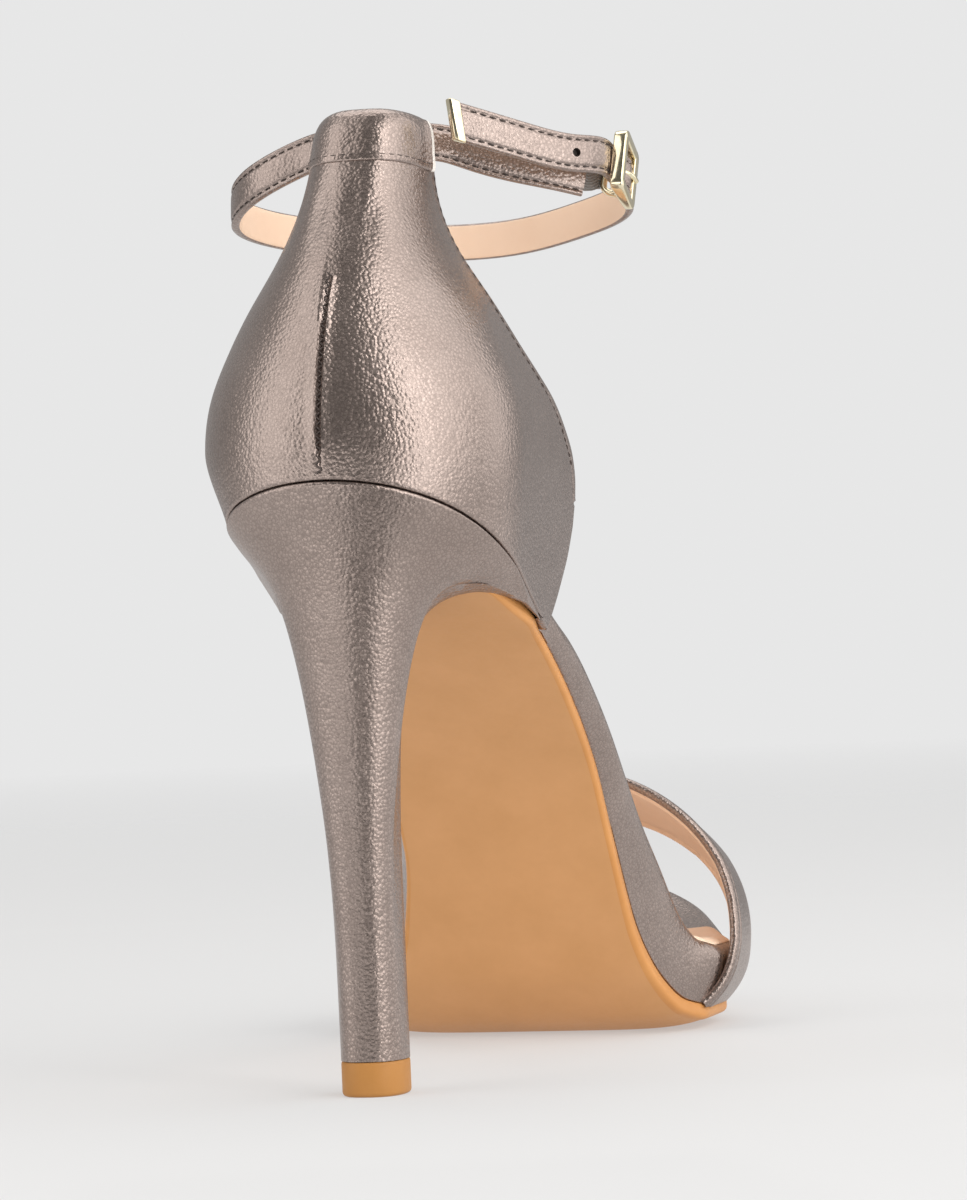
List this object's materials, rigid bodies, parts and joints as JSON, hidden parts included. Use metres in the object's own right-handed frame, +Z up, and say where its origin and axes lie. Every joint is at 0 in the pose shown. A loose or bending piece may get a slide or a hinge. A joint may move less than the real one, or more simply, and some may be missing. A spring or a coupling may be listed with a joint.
{
  "type": "heeled sandal",
  "caption": "High-heeled sandal with a closed metallic leather back, slim covered heel, low platform, arched toe strap and a buckled ankle strap; open at the toe and sides.",
  "frame": {"origin": "middle of the walking face of the heel, on the floor", "axes": "+X to the outer side of the foot, +Y to the toe, +Z up"},
  "size_m": [0.0885, 0.2037, 0.1759],
  "materials": {
    "metallic_leather": "metallic pewter-rose leather with a fine grain",
    "sock_leather": "smooth matt beige leather",
    "sole_leather": "smooth satin tan leather",
    "top_piece_rubber": "matt tan",
    "pale_gold": "polished pale gold plate",
    "grey_elastic": "ribbed grey elastic"
  },
  "bodies": {
    "root": {"outsole": "sole_leather", "platform": "metallic_leather", "sock_lining": "sock_leather", "heel": "metallic_leather", "top_piece": "top_piece_rubber", "counter": "metallic_leather", "heel_sleeve": "metallic_leather", "ankle_strap": "metallic_leather", "strap_tip": "pale_gold", "elastic_loop": "grey_elastic", "buckle_frame": "pale_gold", "buckle_prong": "pale_gold", "toe_strap": "metallic_leather"}
  },
  "joints": []
}
